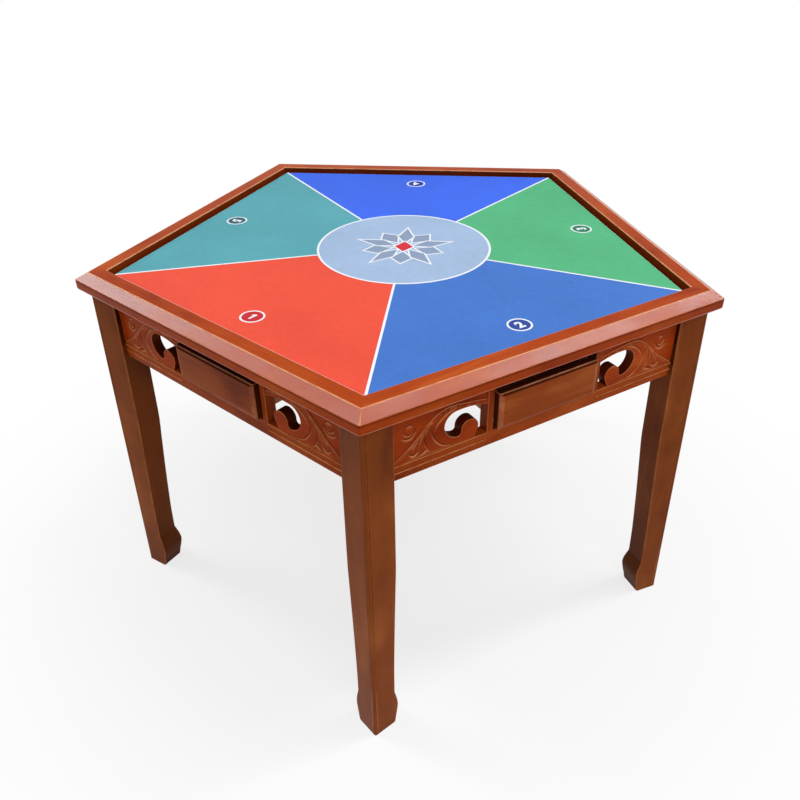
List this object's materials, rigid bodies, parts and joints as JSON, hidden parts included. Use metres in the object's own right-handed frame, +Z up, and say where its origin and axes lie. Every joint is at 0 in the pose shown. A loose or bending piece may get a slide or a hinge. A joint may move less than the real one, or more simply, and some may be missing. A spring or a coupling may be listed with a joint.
{
  "type": "mahjong table with drawers",
  "caption": "Pentagonal game table: sunk cloth-covered playing board in a bevelled rim, tapered legs with hoof feet, carved and pierced aprons with a sliding drawer in each side.",
  "frame": {"origin": "on the floor, in the middle of the rim's outline", "axes": "+Z up; -Y towards the single front corner; +X to the right, along the width"},
  "size_m": [1.2118, 1.153, 0.75],
  "materials": {
    "rim_wood": "glossy lacquer over reddish stain",
    "frame_wood": "satin lacquer over reddish-brown stain",
    "carved_wood": "satin lacquer over reddish-brown stain",
    "leg_wood": "satin lacquer over reddish-brown stain",
    "drawer_wood": "satin lacquer over reddish-brown stain",
    "inner_wood": "bare sanded wood",
    "inner_ply": "bare plywood",
    "board_wood": "dark edge-stained board",
    "cloth": "short smooth printed cloth",
    "steel": "zinc plated"
  },
  "bodies": {
    "table": {"rim_front_left": "rim_wood", "top_rail_front_left": "frame_wood", "apron_rail_front_left": "frame_wood", "drawer_posts_front_left": "frame_wood", "carved_panel_front_left_left": "carved_wood", "carved_panel_front_left_right": "carved_wood", "drawer_runners_front_left": "inner_wood", "rim_front_right": "rim_wood", "top_rail_front_right": "frame_wood", "apron_rail_front_right": "frame_wood", "drawer_posts_front_right": "frame_wood", "carved_panel_front_right_left": "carved_wood", "carved_panel_front_right_right": "carved_wood", "drawer_runners_front_right": "inner_wood", "rim_right": "rim_wood", "top_rail_right": "frame_wood", "apron_rail_right": "frame_wood", "drawer_posts_right": "frame_wood", "carved_panel_right_left": "carved_wood", "carved_panel_right_right": "carved_wood", "drawer_runners_right": "inner_wood", "rim_back": "rim_wood", "top_rail_back": "frame_wood", "apron_rail_back": "frame_wood", "drawer_posts_back": "frame_wood", "carved_panel_back_left": "carved_wood", "carved_panel_back_right": "carved_wood", "drawer_runners_back": "inner_wood", "rim_left": "rim_wood", "top_rail_left": "frame_wood", "apron_rail_left": "frame_wood", "drawer_posts_left": "frame_wood", "carved_panel_left_left": "carved_wood", "carved_panel_left_right": "carved_wood", "drawer_runners_left": "inner_wood", "leg_front": "leg_wood", "leg_right": "leg_wood", "leg_back_right": "leg_wood", "leg_back_left": "leg_wood", "leg_left": "leg_wood", "corner_blocks": "inner_wood", "leg_bolts": "steel", "base_panel": "inner_ply", "play_board": "board_wood", "play_cloth": "cloth"},
    "drawer_front_left": {"drawer_front_front_left": "drawer_wood", "drawer_box_front_left": "inner_wood", "drawer_bottom_front_left": "inner_ply"},
    "drawer_front_right": {"drawer_front_front_right": "drawer_wood", "drawer_box_front_right": "inner_wood", "drawer_bottom_front_right": "inner_ply"},
    "drawer_right": {"drawer_front_right": "drawer_wood", "drawer_box_right": "inner_wood", "drawer_bottom_right": "inner_ply"},
    "drawer_back": {"drawer_front_back": "drawer_wood", "drawer_box_back": "inner_wood", "drawer_bottom_back": "inner_ply"},
    "drawer_left": {"drawer_front_left": "drawer_wood", "drawer_box_left": "inner_wood", "drawer_bottom_left": "inner_ply"}
  },
  "joints": [
    {"name": "drawer_front_left_slide", "type": "slide", "parent": "table", "child": "drawer_front_left", "axis": [-0.5878, -0.809, 0], "range_m": [0, 0.17]},
    {"name": "drawer_front_right_slide", "type": "slide", "parent": "table", "child": "drawer_front_right", "axis": [0.5878, -0.809, 0], "range_m": [0, 0.17]},
    {"name": "drawer_right_slide", "type": "slide", "parent": "table", "child": "drawer_right", "axis": [0.9511, 0.309, 0], "range_m": [0, 0.17]},
    {"name": "drawer_back_slide", "type": "slide", "parent": "table", "child": "drawer_back", "axis": [0, 1, 0], "range_m": [0, 0.17]},
    {"name": "drawer_left_slide", "type": "slide", "parent": "table", "child": "drawer_left", "axis": [-0.9511, 0.309, 0], "range_m": [0, 0.17]}
  ]
}
